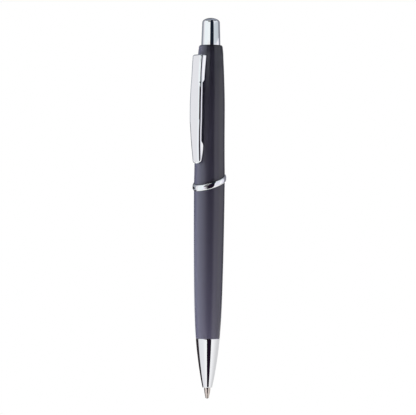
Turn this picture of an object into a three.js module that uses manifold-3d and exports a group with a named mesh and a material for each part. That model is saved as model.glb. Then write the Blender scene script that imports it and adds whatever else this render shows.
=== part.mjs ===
// A retractable ballpoint pen with a two-part barrel, a slanted centre ring, a pressed clip,
// a screwed nose cone, a click mechanism with a turning cam, a refill and its return spring.
//
// Millimetres, +Z up along the pen. Heights in this file run up from the lowest point of the
// ball with the tip out, and the clip is on the -Y side. The last lines move the whole pen so
// that the origin is where the clip pinches a pocket against the barrel.

import * as THREE from 'three';
import { mergeVertices } from 'three/addons/utils/BufferGeometryUtils.js';
import Module from 'manifold-3d';

const wasm = await Module();
wasm.setup();

// Clearances
const SLIDING_GAP = 0.1; // between pieces that slide or turn in one another
const SEATED_GAP = 0.06; // between pieces that are pressed or screwed together
const CUT_GAP = 0.15; // round a tab in its slot
const OVERLAP = 0.4; // how far one lump sinks into another before they are joined

// Barrel
const BARREL_SIDES = 40;
const BARREL_SHOULDER = 1; // height of the rounded edge at the barrel's top
const BARREL_LIP = 0.13; // width of the flat top round the button
const LOWER_BORE = 3.9; // radius behind the taper
const BORE_TAPER_START = 2; // above the nose seam
const BORE_TAPER_RUN = 10; // length of the taper for each millimetre of radius
const COUPLING_BORE_WALL = 0.05; // play of the coupling sleeve in either half
// Outer radius along each half, with the place as a share of the half's length.
const LOWER_OUTLINE = [[0, 4.39], [0.05, 4.58], [0.1, 4.76], [0.25, 5.09], [0.41, 5.3], [0.56, 5.45],
  [0.76, 5.58], [0.92, 5.64], [1, 5.65]];
const UPPER_OUTLINE = [[0, 5.64], [0.09, 5.57], [0.31, 5.44], [0.54, 5.39], [0.63, 5.31], [0.73, 5.14],
  [0.82, 4.96], [0.91, 4.72], [0.955, 4.63], [1, 4.4]];

// Nose cone and its screw thread
const TIP_SHOWING = 4.15; // how far the tip stands out of the nose when writing
const NOSE_LENGTH = 18;
const NOSE_OUTLINE = [[0, 1.76], [0.08, 2.06], [0.2, 2.49], [0.45, 3.22], [0.7, 3.84], [0.88, 4.2],
  [1, 4.38]];
const SPRING_SEAT_HEIGHT = 6.35; // above the end of the nose
const SPIGOT_LENGTH = 6.5;
const SPIGOT_WALL = 0.5;
const THREAD_DEPTH = 0.2;
const THREAD_TURNS = 3;
const THREAD_PITCH = 1.25;
const THREAD_START = 0.5; // plain end of the spigot below the thread

// Centre ring and the sleeve that joins the two halves
const RING_WIDTH = 2.3; // along the pen
const RING_RADIUS = 6.17;
const RING_ROUNDING = 0.65; // how far its face falls back at either edge
const RING_FULLNESS = 3; // power of its face's curve, where 2 is an ellipse and more is flatter
const RING_SLOPE = 0.375; // rise for each millimetre away from the clip's side
const COUPLING_LENGTH = 22;
const COUPLING_RADIUS = 4.4;
const COUPLING_WALL = 0.9;

// Clip, pressed from sheet as a channel with closed ends
const CLIP_LENGTH = 39.8;
const CLIP_ABOVE_RING = 6.81; // from the middle of the ring up to the clip's lower end
const CLIP_BELOW_TOP = 3.7; // from the barrel's top down to the clip's top
const CLIP_SHEET = 0.5;
const CLIP_BEND = 1.1; // outer bend radius along the edges
const CLIP_END_BEND = 0.6; // outer bend radius across both ends
const CLIP_END_ROUNDING = 1.3; // corners of the lower end, seen from the front
const CLIP_FLANGE = 1.15; // depth of the flanges along the arm
const CLIP_GAP = 0.12; // between the flanges and the barrel where they meet it
// Share of the clip's length from its lower end, distance of its face from the axis, half width.
const CLIP_OUTLINE = [[0, 6.95, 2], [0.07, 7.2, 2.22], [0.17, 7.55, 2.45], [0.3, 7.8, 2.7],
  [0.41, 7.92, 2.97], [0.53, 7.92, 2.99], [0.65, 7.78, 2.92], [0.85, 7.46, 2.7], [1, 6.97, 2.76]];
// Share of the clip's length, share of the way that the flanges reach from the arm to the barrel.
// A negative share draws the flanges' edge back towards the arm's face.
const CLIP_REACH = [[0, -0.8], [0.02, -0.3], [0.125, 1], [0.16, 1], [0.21, 0], [0.735, 0],
  [0.77, 0.52], [1, 0.71]];
const CLIP_TONGUE_WIDTH = 2.4;
const BOSS_LENGTH = 7.6; // block on the barrel that fills the clip's root
const BOSS_GAP = 0.15; // between the block and the channel

// Push button, a drawn cap
const BUTTON_SHOWING = 10.05; // above the barrel, tip out
const BUTTON_GUIDED = 9.96; // inside the barrel, tip out
const BUTTON_RADIUS = 3.5;
const BUTTON_TAPER = 0.28; // how much thinner it is at the dome
const BUTTON_DOME = 1.7;
const BUTTON_WALL = 0.6;
const BUTTON_BORE_GAP = 0.15;
const BUTTON_SIDES = 32;

// Click mechanism
const TRAVEL = 5; // tip out to tip in
const OVERTRAVEL = 1.2; // further press that frees the cam
const FIN_COUNT = 4;
const FIN_WIDTH = 1.2;
const RIB_WIDTH = 1.5;
const TOOTH_HEIGHT = 0.6;
const TEETH = 8;
const MECHANISM_SIDES = 32;
const PLUNGER_WALL = 0.4; // between the ribs
const PLUNGER_FIN_HEIGHT = 1.7;
const RIB_DEPTH = 0.8;
const GUIDE_WALL = 0.9;
const GUIDE_SKIRT = 1.6; // sleeve below the ribs, round the cam's fins
const GUIDE_COLLAR = 1; // closed upper end of the grooves
const CAM_FIN_HEIGHT = 2.2;
const CAM_CUP_DEPTH = 1.8; // over the refill's end
const CAM_CUP_WALL = 0.55;
const CAM_FLOOR = 1.1; // between the cup and the fins
const CAM_STEM_LENGTH = 5.6;
const CAM_STEM_GAP = 0.15;

// Refill
const REFILL_LENGTH = 107;
const REFILL_RADIUS = 1.5;
const REFILL_WALL = 0.3;
const REFILL_SIDES = 20;
const INK_LENGTH = 62;
const PLUG_CAP = 1.4;
const PLUG_SHANK = 3;
const PLUG_VENT = 0.3;
const EAR_REACH = 0.65; // ears of the tube that the spring pushes on
const EAR_WIDTH = 1;
const EAR_HEIGHT = 1.2;
const BALL_RADIUS = 0.5;
const BALL_GAP = 0.03;
const TIP_RADIUS = 1.175;
const TIP_CONE = 3.6; // height at which the tip reaches its full radius
const TIP_LENGTH = 9.5;
const TIP_SHANK_RADIUS = 0.8;
const TIP_SHANK = 3.5;
const INK_CHANNEL = 0.2;
const ADAPTOR_STEP = 0.2; // from the adaptor's neck out to its body
const ADAPTOR_NECK_LENGTH = 2.5;
const ADAPTOR_BODY_LENGTH = 2;
const ADAPTOR_SHANK = 4;

// Return spring, with the tip out
const SPRING_LENGTH = 18;
const SPRING_TURNS = 14;
const SPRING_PLAY = 0.3; // between the refill and the wire
const SPRING_WIRE = 0.2; // radius of the wire
const SPRING_END_PITCH = 0.85;
const SPRING_STEPS = 8;
const SPRING_SIDES = 5;

// Heights worked out from the sizes above
const NOSE_END = TIP_SHOWING;
const NOSE_TOP = NOSE_END + NOSE_LENGTH;
const LOWER_BOTTOM = NOSE_TOP + SEATED_GAP;
const SPIGOT_BOTTOM = LOWER_BOTTOM - SPIGOT_LENGTH;
const SPRING_SEAT = NOSE_END + SPRING_SEAT_HEIGHT;
const SPRING_FOOT = SPRING_SEAT + SLIDING_GAP;
const EAR_BOTTOM = SPRING_FOOT + SPRING_LENGTH + SLIDING_GAP;
const CAM_SEAT = REFILL_LENGTH + SEATED_GAP; // the cam's floor on the refill's end
const CAM_TOP = CAM_SEAT + CAM_FLOOR + CAM_FIN_HEIGHT; // points of its fins and teeth
const RIB_BOTTOM = CAM_TOP + CUT_GAP;
const PLUNGER_FIN_TOP = RIB_BOTTOM + PLUNGER_FIN_HEIGHT;
const GUIDE_COLLAR_BOTTOM = PLUNGER_FIN_TOP + TRAVEL + CUT_GAP;
const GUIDE_TOP = GUIDE_COLLAR_BOTTOM + GUIDE_COLLAR;
const GUIDE_BOTTOM = RIB_BOTTOM - GUIDE_SKIRT;
const GUIDE_SEAT = GUIDE_TOP + SEATED_GAP; // step in the upper barrel's bore
const CAP_BOTTOM = GUIDE_SEAT + OVERTRAVEL + CUT_GAP;
const UPPER_TOP = CAP_BOTTOM + BUTTON_GUIDED;
const BUTTON_TOP = UPPER_TOP + BUTTON_SHOWING;
const CAP_CEILING = BUTTON_TOP - BUTTON_DOME - BUTTON_WALL;
const CLIP_TOP = UPPER_TOP - CLIP_BELOW_TOP;
const CLIP_BOTTOM = CLIP_TOP - CLIP_LENGTH;
const RING_MIDDLE = CLIP_BOTTOM - CLIP_ABOVE_RING;
const LOWER_TOP = RING_MIDDLE - RING_WIDTH / 2 - SEATED_GAP;
const UPPER_BOTTOM = RING_MIDDLE + RING_WIDTH / 2 + SEATED_GAP;

// Radii worked out from the sizes above
const REFILL_BORE = REFILL_RADIUS - REFILL_WALL;
const SHANK_RADIUS = REFILL_BORE - SEATED_GAP;
const ADAPTOR_NECK = REFILL_RADIUS - ADAPTOR_STEP;
const NOSE_OPENING = ADAPTOR_NECK + SLIDING_GAP;
const SPRING_RADIUS = REFILL_RADIUS + SPRING_PLAY + SPRING_WIRE; // to the middle of the wire
const SPRING_BORE = SPRING_RADIUS + SPRING_WIRE + 2 * SLIDING_GAP;
const SPIGOT_RADIUS = SPRING_BORE + SPIGOT_WALL;
const THREAD_CREST = SPIGOT_RADIUS + THREAD_DEPTH;
const NOSE_THREAD_BORE = THREAD_CREST + SLIDING_GAP;
const COUPLING_BORE = COUPLING_RADIUS + COUPLING_BORE_WALL;
const BUTTON_BORE = BUTTON_RADIUS + BUTTON_BORE_GAP;
const CAM_CUP_BORE = REFILL_RADIUS + SLIDING_GAP;
const PLUNGER_RADIUS = CAM_CUP_BORE + CAM_CUP_WALL;
const PLUNGER_BORE = PLUNGER_RADIUS - PLUNGER_WALL;
const RIB_RADIUS = PLUNGER_RADIUS + SLIDING_GAP;
const GUIDE_BORE = RIB_RADIUS + RIB_DEPTH;
const FIN_RADIUS = GUIDE_BORE - SLIDING_GAP;
const GUIDE_RADIUS = GUIDE_BORE + GUIDE_WALL;
const GUIDE_POCKET = GUIDE_RADIUS + SEATED_GAP;

/** Linear value of column `column` in rows whose first column rises with the share. */
function along(rows, share, column = 1) {
  const last = rows.findIndex((row) => row[0] >= share);
  if (last <= 0) return rows[last === 0 ? 0 : rows.length - 1][column];
  const [a, b] = [rows[last - 1], rows[last]];
  return THREE.MathUtils.mapLinear(share, a[0], b[0], a[column], b[column]);
}

/** Points [radius, height] of an outline between two heights. */
function outlinePoints(outline, bottom, top) {
  return outline.map(([share, radius]) => [radius, THREE.MathUtils.lerp(bottom, top, share)]);
}

/** How far an edge is drawn in at a distance from a rounded end. */
function drawnIn(distance, radius) {
  const left = Math.max(radius - distance, 0);
  return radius - Math.sqrt(radius * radius - left * left);
}

/** A closed mesh from corners and triangles, with shared corners merged and slivers dropped. */
function closedGeometry(geometry) {
  const bare = geometry.clone();
  bare.deleteAttribute('normal');
  bare.deleteAttribute('uv');
  const merged = mergeVertices(bare, 1e-4);
  const index = merged.index.array;
  const kept = [];
  for (let i = 0; i < index.length; i += 3) {
    const [a, b, c] = [index[i], index[i + 1], index[i + 2]];
    if (a !== b && b !== c && a !== c) kept.push(a, b, c);
  }
  merged.setIndex(kept);
  return merged;
}

/** The solid of a closed geometry, ready to be joined and cut. */
function solidOf(geometry) {
  const closed = closedGeometry(geometry);
  return new wasm.Manifold(new wasm.Mesh({
    numProp: 3,
    vertProperties: new Float32Array(closed.attributes.position.array),
    triVerts: new Uint32Array(closed.index.array),
  }));
}

/** The geometry of a solid after its cuts. */
function geometryOf(solid) {
  const mesh = solid.getMesh();
  const geometry = new THREE.BufferGeometry();
  geometry.setAttribute('position', new THREE.Float32BufferAttribute(mesh.vertProperties, 3));
  geometry.setIndex(Array.from(mesh.triVerts));
  return geometry;
}

/** A solid of revolution about Z from points [radius, height], listed up the outside. */
function turned(points, sides) {
  const profile = points.map(([radius, height]) => new THREE.Vector2(radius, height));
  const opensOnAxis = points[0][0] === 0 && points[points.length - 1][0] === 0;
  if (!opensOnAxis) profile.push(profile[0].clone());
  return closedGeometry(new THREE.LatheGeometry(profile, sides).rotateX(Math.PI / 2));
}

/** A box between two corners. */
function block(from, to) {
  const size = to.map((value, i) => value - from[i]);
  const middle = to.map((value, i) => (value + from[i]) / 2);
  return new THREE.BoxGeometry(...size).translate(...middle);
}

/** Moves the corners that a test picks up or down with their distance from the clip's side. */
function slanted(geometry, picks) {
  const position = geometry.attributes.position;
  for (let i = 0; i < position.count; i += 1) {
    const height = position.getZ(i);
    if (picks(height)) position.setZ(i, height + RING_SLOPE * position.getY(i));
  }
  return geometry;
}

/** A solid through closed sections of equal count, each listed anticlockwise, going up. */
function lofted(sections) {
  const count = sections[0].length;
  const corners = sections.flat().flatMap((point) => point.toArray());
  const index = [];
  for (let level = 0; level + 1 < sections.length; level += 1) {
    for (let i = 0; i < count; i += 1) {
      const a = level * count + i;
      const b = level * count + ((i + 1) % count);
      index.push(a, b, b + count, a, b + count, a + count);
    }
  }
  const top = (sections.length - 1) * count;
  for (let i = 1; i + 1 < count; i += 1) {
    index.push(0, i + 1, i, top, top + i, top + i + 1);
  }
  const geometry = new THREE.BufferGeometry();
  geometry.setAttribute('position', new THREE.Float32BufferAttribute(corners, 3));
  geometry.setIndex(index);
  return geometry;
}

/** A wire wound about Z, its height given by a function of the turns. */
function wound(radius, wire, turns, steps, sides, heightAt) {
  const sections = [];
  for (let step = 0; step <= turns * steps; step += 1) {
    const angle = (step / steps) * 2 * Math.PI;
    const out = new THREE.Vector3(Math.cos(angle), Math.sin(angle), 0);
    const middle = out.clone().multiplyScalar(radius).setZ(heightAt(step / steps));
    const ring = [];
    for (let side = 0; side < sides; side += 1) {
      const turn = (side / sides) * 2 * Math.PI;
      const point = middle.clone().addScaledVector(out, wire * Math.cos(turn));
      ring.push(point.setZ(point.z - wire * Math.sin(turn)));
    }
    sections.push(ring);
  }
  return sections;
}

/** A ring of teeth that point up, between two radii, standing on a flat height. */
function crown(inner, outer, base, peak) {
  const steps = TEETH * 2;
  const corners = [];
  const index = [];
  for (let step = 0; step < steps; step += 1) {
    const angle = (step / steps) * 2 * Math.PI;
    const height = step % 2 === 0 ? peak : peak - TOOTH_HEIGHT;
    for (const [radius, level] of [[inner, base], [outer, base], [outer, height], [inner, height]]) {
      corners.push(radius * Math.cos(angle), radius * Math.sin(angle), level);
    }
    const start = step * 4;
    const next = ((step + 1) % steps) * 4;
    for (let i = 0; i < 4; i += 1) {
      const j = (i + 1) % 4;
      index.push(start + i, next + i, next + j, start + i, next + j, start + j);
    }
  }
  const geometry = new THREE.BufferGeometry();
  geometry.setAttribute('position', new THREE.Float32BufferAttribute(corners, 3));
  geometry.setIndex(index);
  return geometry;
}

/** Joins to a solid one upright fin for each groove, turned from the first by an angle. */
function withFins(solid, inner, outer, width, bottom, top, firstAngle) {
  let joined = solid;
  for (let fin = 0; fin < FIN_COUNT; fin += 1) {
    const shape = block([inner, -width / 2, bottom], [outer, width / 2, top]);
    shape.rotateZ(firstAngle + (fin * 2 * Math.PI) / FIN_COUNT);
    joined = joined.add(solidOf(shape));
  }
  return joined;
}

/** Distance of the clip's face from the axis at a height. */
function clipFace(height) {
  return along(CLIP_OUTLINE, (height - CLIP_BOTTOM) / CLIP_LENGTH, 1);
}

/** Half the clip's width at a height. */
function clipHalfWidth(height) {
  return along(CLIP_OUTLINE, (height - CLIP_BOTTOM) / CLIP_LENGTH, 2);
}

/** Outer radius of the upper barrel at a height. */
function upperRadius(height) {
  const top = UPPER_TOP - BARREL_SHOULDER;
  return along(UPPER_OUTLINE, (height - UPPER_BOTTOM) / (top - UPPER_BOTTOM));
}

/** Distance from the axis of the free edges of the clip's flanges at a height. */
function clipEdge(height) {
  const inner = clipHalfWidth(height) - CLIP_SHEET;
  const radius = upperRadius(height);
  const onBarrel = Math.sqrt(radius * radius - inner * inner) + CLIP_GAP;
  const reach = along(CLIP_REACH, (height - CLIP_BOTTOM) / CLIP_LENGTH);
  return THREE.MathUtils.lerp(clipFace(height) - CLIP_FLANGE, onBarrel, reach);
}

/** One section of the clip: straight flanges, rounded bends and a flat face. */
function clipSection(half, edge, face, bend, height) {
  const points = [new THREE.Vector3(-half, -edge, height)];
  const arc = 4;
  for (const side of [-1, 1]) {
    for (let step = 0; step <= arc; step += 1) {
      const turn = (side < 0 ? step / arc : 1 - step / arc) * (Math.PI / 2);
      const x = side * (half - bend + bend * Math.cos(turn));
      points.push(new THREE.Vector3(x, -(face - bend + bend * Math.sin(turn)), height));
    }
  }
  points.push(new THREE.Vector3(half, -edge, height));
  return points;
}

/** Heights at which the clip's form changes, rounded ends included. */
function clipHeights(bottom, top, endRounding) {
  const heights = new Set([bottom, top]);
  for (const share of [0.03, 0.12, 0.3, 0.6, 1]) heights.add(bottom + share * endRounding);
  for (const share of [0.1, 0.4, 1]) heights.add(top - share * CLIP_END_BEND);
  for (const [share] of [...CLIP_OUTLINE, ...CLIP_REACH]) {
    heights.add(CLIP_BOTTOM + share * CLIP_LENGTH);
  }
  const inside = [...heights].filter((height) => height >= bottom && height <= top);
  return inside.sort((a, b) => a - b).filter((height, i, all) => i === 0 || height - all[i - 1] > 0.02);
}

/**
 * The clip's outer form, or the same form drawn in by `inset`: the hollow of its channel for the
 * sheet's thickness, and what fits in that hollow for more.
 */
function clipForm(inset) {
  const bottom = CLIP_BOTTOM + inset;
  const top = CLIP_TOP - inset;
  const endRounding = CLIP_END_ROUNDING - inset;
  const bend = Math.max(CLIP_BEND - inset, 0.1);
  const endBend = Math.max(CLIP_END_BEND - inset, 0.1);
  const sections = clipHeights(bottom, top, endRounding).map((height) => {
    const low = drawnIn(height - bottom, endRounding);
    const high = drawnIn(top - height, endBend);
    const half = clipHalfWidth(height) - inset - Math.max(low, high);
    const face = clipFace(height) - inset - Math.max(drawnIn(height - bottom, endBend), high);
    const edge = inset > 0 ? clipEdge(height) - CLIP_FLANGE : clipEdge(height);
    return clipSection(half, edge, face, Math.min(bend, half * 0.9, (face - edge) * 0.95), height);
  });
  return lofted(sections);
}

function makeClip() {
  const tongueEnd = BUTTON_BORE + CUT_GAP;
  const tongue = block(
    [-CLIP_TONGUE_WIDTH / 2, -clipFace(CLIP_TOP) + CLIP_END_BEND, CLIP_TOP - CLIP_SHEET],
    [CLIP_TONGUE_WIDTH / 2, -tongueEnd, CLIP_TOP],
  );
  return geometryOf(solidOf(clipForm(0)).subtract(solidOf(clipForm(CLIP_SHEET))).add(solidOf(tongue)));
}

/** The block on the barrel that fills the root of the clip, as wide as the channel allows. */
function clipBoss() {
  const inner = CLIP_SHEET + BOSS_GAP;
  const top = CLIP_TOP - inner;
  const root = upperRadius(top) - OVERLAP;
  const half = clipHalfWidth(top);
  const room = block([-half, -clipFace(top), top - BOSS_LENGTH], [half, -root, top]);
  return solidOf(clipForm(inner)).intersect(solidOf(room));
}

function makeUpperBarrel() {
  const couplingEnd = RING_MIDDLE + COUPLING_LENGTH / 2 + SEATED_GAP;
  const shoulderFoot = UPPER_TOP - BARREL_SHOULDER;
  const outer = outlinePoints(UPPER_OUTLINE, UPPER_BOTTOM, shoulderFoot);
  const shoulderRadius = outer[outer.length - 1][0];
  const topRadius = BUTTON_BORE + BARREL_LIP;
  const shoulder = [];
  for (const share of [0.35, 0.7, 1]) {
    const turn = share * (Math.PI / 2);
    const radius = topRadius + (shoulderRadius - topRadius) * Math.cos(turn);
    shoulder.push([radius, shoulderFoot + BARREL_SHOULDER * Math.sin(turn)]);
  }
  const inner = [
    [BUTTON_BORE, UPPER_TOP], [BUTTON_BORE, GUIDE_SEAT], [GUIDE_POCKET, GUIDE_SEAT],
    [GUIDE_POCKET, couplingEnd], [COUPLING_BORE, couplingEnd], [COUPLING_BORE, UPPER_BOTTOM],
  ];
  const shell = turned([...outer, ...shoulder, ...inner], BARREL_SIDES);
  const slantEnd = UPPER_BOTTOM + 0.01;
  slanted(shell, (height) => height < slantEnd);
  const half = CLIP_TONGUE_WIDTH / 2 + CUT_GAP;
  const slot = block(
    [-half, -upperRadius(CLIP_TOP) - OVERLAP, CLIP_TOP - CLIP_SHEET - CUT_GAP],
    [half, -BUTTON_BORE / 2, CLIP_TOP + CUT_GAP],
  );
  return geometryOf(solidOf(shell).add(clipBoss()).subtract(solidOf(slot)));
}

function makeLowerBarrel() {
  const couplingEnd = RING_MIDDLE - COUPLING_LENGTH / 2 - SEATED_GAP;
  const taperBottom = LOWER_BOTTOM + BORE_TAPER_START;
  const taperTop = taperBottom + (LOWER_BORE - SPRING_BORE) * BORE_TAPER_RUN;
  const outer = outlinePoints(LOWER_OUTLINE, LOWER_BOTTOM, LOWER_TOP);
  const spigot = [
    [SPRING_BORE, SPIGOT_BOTTOM], [SPIGOT_RADIUS, SPIGOT_BOTTOM], [SPIGOT_RADIUS, LOWER_BOTTOM],
  ];
  const inner = [
    [COUPLING_BORE, LOWER_TOP], [COUPLING_BORE, couplingEnd], [LOWER_BORE, couplingEnd],
    [LOWER_BORE, taperTop], [SPRING_BORE, taperBottom],
  ];
  const shell = turned([...spigot, ...outer, ...inner], BARREL_SIDES);
  slanted(shell, (height) => height > LOWER_TOP - 0.01);
  const firstTurn = SPIGOT_BOTTOM + THREAD_DEPTH + THREAD_START;
  const rise = (turn) => firstTurn + turn * THREAD_PITCH;
  const ridge = wound(SPIGOT_RADIUS, THREAD_DEPTH, THREAD_TURNS, 20, 4, rise);
  return geometryOf(solidOf(shell).add(solidOf(lofted(ridge))));
}

function makeNoseCone() {
  const outer = outlinePoints(NOSE_OUTLINE, NOSE_END, NOSE_TOP);
  const threadEnd = SPIGOT_BOTTOM - CUT_GAP;
  return turned([
    [NOSE_OPENING, NOSE_END], ...outer,
    [NOSE_THREAD_BORE, NOSE_TOP], [NOSE_THREAD_BORE, threadEnd], [SPRING_BORE, threadEnd],
    [SPRING_BORE, SPRING_SEAT], [NOSE_OPENING, SPRING_SEAT],
  ], BARREL_SIDES);
}

function makeCentreRing() {
  const half = RING_WIDTH / 2;
  const bottom = RING_MIDDLE - half;
  const top = RING_MIDDLE + half;
  const bore = COUPLING_RADIUS + COUPLING_BORE_WALL;
  const rounded = [];
  for (const share of [-1, -0.95, -0.8, -0.45, 0, 0.45, 0.8, 0.95, 1]) {
    const out = (1 - Math.abs(share) ** RING_FULLNESS) ** (1 / RING_FULLNESS);
    rounded.push([RING_RADIUS - RING_ROUNDING * (1 - out), RING_MIDDLE + half * share]);
  }
  const shape = turned([[bore, bottom], ...rounded, [bore, top]], BARREL_SIDES);
  return slanted(shape, () => true);
}

function makeCoupling() {
  const bottom = RING_MIDDLE - COUPLING_LENGTH / 2;
  const top = RING_MIDDLE + COUPLING_LENGTH / 2;
  const bore = COUPLING_RADIUS - COUPLING_WALL;
  const outer = COUPLING_RADIUS;
  return turned([[bore, bottom], [outer, bottom], [outer, top], [bore, top]], BARREL_SIDES);
}

function makePushButton() {
  const domeFoot = BUTTON_TOP - BUTTON_DOME;
  const domeRadius = BUTTON_RADIUS - BUTTON_TAPER;
  const cavity = domeRadius - BUTTON_WALL;
  const dome = [];
  for (const share of [0, 0.3, 0.55, 0.78, 0.92]) {
    const turn = share * (Math.PI / 2);
    dome.push([domeRadius * Math.cos(turn), domeFoot + BUTTON_DOME * Math.sin(turn)]);
  }
  return turned([
    [0, CAP_CEILING], [cavity, CAP_CEILING], [cavity, CAP_BOTTOM],
    [BUTTON_RADIUS, CAP_BOTTOM], [BUTTON_RADIUS, UPPER_TOP], ...dome, [0, BUTTON_TOP],
  ], BUTTON_SIDES);
}

function makeThrustSleeve() {
  const stem = BUTTON_RADIUS - BUTTON_TAPER - BUTTON_WALL - SEATED_GAP;
  const top = CAP_CEILING - SEATED_GAP;
  const teethTop = RIB_BOTTOM + TOOTH_HEIGHT;
  const body = turned([
    [PLUNGER_BORE, teethTop], [PLUNGER_RADIUS, teethTop], [PLUNGER_RADIUS, CAP_BOTTOM],
    [stem, CAP_BOTTOM], [stem, top], [PLUNGER_BORE, top],
  ], MECHANISM_SIDES);
  const base = teethTop + OVERLAP;
  const teeth = crown(PLUNGER_BORE, PLUNGER_RADIUS, -base, -RIB_BOTTOM).rotateX(Math.PI);
  const inner = (PLUNGER_BORE + PLUNGER_RADIUS) / 2;
  const joined = solidOf(body).add(solidOf(teeth));
  return geometryOf(withFins(joined, inner, FIN_RADIUS, FIN_WIDTH, RIB_BOTTOM, PLUNGER_FIN_TOP, 0));
}

function makeCamRotor() {
  const body = PLUNGER_RADIUS;
  const teethFoot = CAM_TOP - TOOTH_HEIGHT;
  const stem = PLUNGER_BORE - CAM_STEM_GAP;
  const stemTop = CAM_TOP + CAM_STEM_LENGTH;
  const cupBottom = CAM_SEAT - CAM_CUP_DEPTH;
  const core = turned([
    [0, CAM_SEAT], [CAM_CUP_BORE, CAM_SEAT], [CAM_CUP_BORE, cupBottom], [body, cupBottom],
    [body, teethFoot], [stem, teethFoot], [stem, stemTop - stem / 2], [stem / 2, stemTop], [0, stemTop],
  ], MECHANISM_SIDES);
  const teeth = crown(stem - OVERLAP, body, teethFoot - OVERLAP, CAM_TOP);
  const joined = solidOf(core).add(solidOf(teeth));
  const finBottom = CAM_TOP - CAM_FIN_HEIGHT;
  return geometryOf(withFins(joined, stem, FIN_RADIUS, FIN_WIDTH, finBottom, CAM_TOP, 0));
}

function makeGuideSleeve() {
  const sleeve = turned([
    [GUIDE_BORE, GUIDE_BOTTOM], [GUIDE_RADIUS, GUIDE_BOTTOM], [GUIDE_RADIUS, GUIDE_TOP],
    [RIB_RADIUS, GUIDE_TOP], [RIB_RADIUS, GUIDE_COLLAR_BOTTOM], [GUIDE_BORE, GUIDE_COLLAR_BOTTOM],
  ], MECHANISM_SIDES);
  const outer = GUIDE_BORE + GUIDE_WALL / 2;
  const turnedHalf = Math.PI / FIN_COUNT;
  const top = GUIDE_COLLAR_BOTTOM + GUIDE_COLLAR / 2;
  const ribbed = withFins(solidOf(sleeve), RIB_RADIUS, outer, RIB_WIDTH, RIB_BOTTOM, top, turnedHalf);
  return geometryOf(ribbed);
}

function makeRefillTube() {
  const bottom = TIP_LENGTH + ADAPTOR_NECK_LENGTH + ADAPTOR_BODY_LENGTH + SEATED_GAP;
  const top = REFILL_LENGTH - PLUG_CAP - SEATED_GAP;
  const tube = turned([
    [REFILL_BORE, bottom], [REFILL_RADIUS, bottom], [REFILL_RADIUS, top], [REFILL_BORE, top],
  ], REFILL_SIDES);
  const reach = REFILL_RADIUS + EAR_REACH;
  let joined = solidOf(tube);
  for (const side of [0, Math.PI]) {
    const from = [(REFILL_RADIUS + REFILL_BORE) / 2, -EAR_WIDTH / 2, EAR_BOTTOM];
    const ear = block(from, [reach, EAR_WIDTH / 2, EAR_BOTTOM + EAR_HEIGHT]).rotateZ(side);
    joined = joined.add(solidOf(ear));
  }
  return geometryOf(joined);
}

function makeInkColumn() {
  const bottom = TIP_LENGTH + ADAPTOR_NECK_LENGTH + ADAPTOR_BODY_LENGTH + ADAPTOR_SHANK + SEATED_GAP;
  return turned([
    [0, bottom], [SHANK_RADIUS, bottom], [SHANK_RADIUS, bottom + INK_LENGTH], [0, bottom + INK_LENGTH],
  ], REFILL_SIDES);
}

function makeEndPlug() {
  const capBottom = REFILL_LENGTH - PLUG_CAP;
  const bottom = capBottom - PLUG_SHANK;
  return turned([
    [PLUG_VENT, bottom], [SHANK_RADIUS, bottom], [SHANK_RADIUS, capBottom], [REFILL_RADIUS, capBottom],
    [REFILL_RADIUS, REFILL_LENGTH], [PLUG_VENT, REFILL_LENGTH],
  ], REFILL_SIDES);
}

function makeTipAdaptor() {
  const bore = TIP_SHANK_RADIUS + SEATED_GAP;
  const bottom = TIP_LENGTH + SEATED_GAP;
  const neckTop = TIP_LENGTH + ADAPTOR_NECK_LENGTH;
  const bodyTop = neckTop + ADAPTOR_BODY_LENGTH;
  const top = bodyTop + ADAPTOR_SHANK;
  return turned([
    [bore, bottom], [ADAPTOR_NECK, bottom], [ADAPTOR_NECK, neckTop], [REFILL_RADIUS, neckTop],
    [REFILL_RADIUS, bodyTop], [SHANK_RADIUS, bodyTop], [SHANK_RADIUS, top], [bore, top],
  ], REFILL_SIDES);
}

function makeWritingTip() {
  const socket = BALL_RADIUS + BALL_GAP;
  const centre = BALL_RADIUS;
  const top = TIP_LENGTH + TIP_SHANK;
  const cup = [];
  const lip = -0.5; // sine of the lip's angle below the ball's middle
  const first = Math.asin(lip);
  const last = Math.acos(INK_CHANNEL / socket);
  for (let step = 0; step <= 5; step += 1) {
    const turn = THREE.MathUtils.lerp(last, first, step / 5);
    cup.push([socket * Math.cos(turn), centre + socket * Math.sin(turn)]);
  }
  const lipHeight = cup[cup.length - 1][1];
  return turned([
    [INK_CHANNEL, top], ...cup,
    [socket + 0.1, lipHeight], [TIP_RADIUS * 0.63, 1.1], [TIP_RADIUS * 0.85, 2.2], [TIP_RADIUS, TIP_CONE],
    [TIP_RADIUS, TIP_LENGTH], [TIP_SHANK_RADIUS, TIP_LENGTH], [TIP_SHANK_RADIUS, top],
  ], REFILL_SIDES);
}

function makeTipBall() {
  return closedGeometry(new THREE.SphereGeometry(BALL_RADIUS, 16, 10).translate(0, 0, BALL_RADIUS));
}

/** The spring's height after a number of turns: closer at both ends, even between. */
function springHeight(turn) {
  const run = SPRING_LENGTH - 2 * SPRING_WIRE;
  const middleTurns = SPRING_TURNS - 2;
  const pitch = (run - 2 * SPRING_END_PITCH) / middleTurns;
  const low = Math.min(turn, 1);
  const high = Math.max(turn - (SPRING_TURNS - 1), 0);
  const height = (low + high) * SPRING_END_PITCH + (turn - low - high) * pitch;
  return SPRING_FOOT + SPRING_WIRE + height;
}

/** Least distance between the surface points of turns that lie over one another. */
function leastGap(sections, steps) {
  let least = Infinity;
  const apart = Math.floor(steps / 2);
  for (let i = 0; i < sections.length; i += 1) {
    for (let j = i + apart; j < Math.min(i + 2 * steps, sections.length); j += 1) {
      for (const a of sections[i]) {
        for (const b of sections[j]) least = Math.min(least, a.distanceTo(b));
      }
    }
  }
  return least;
}

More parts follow.
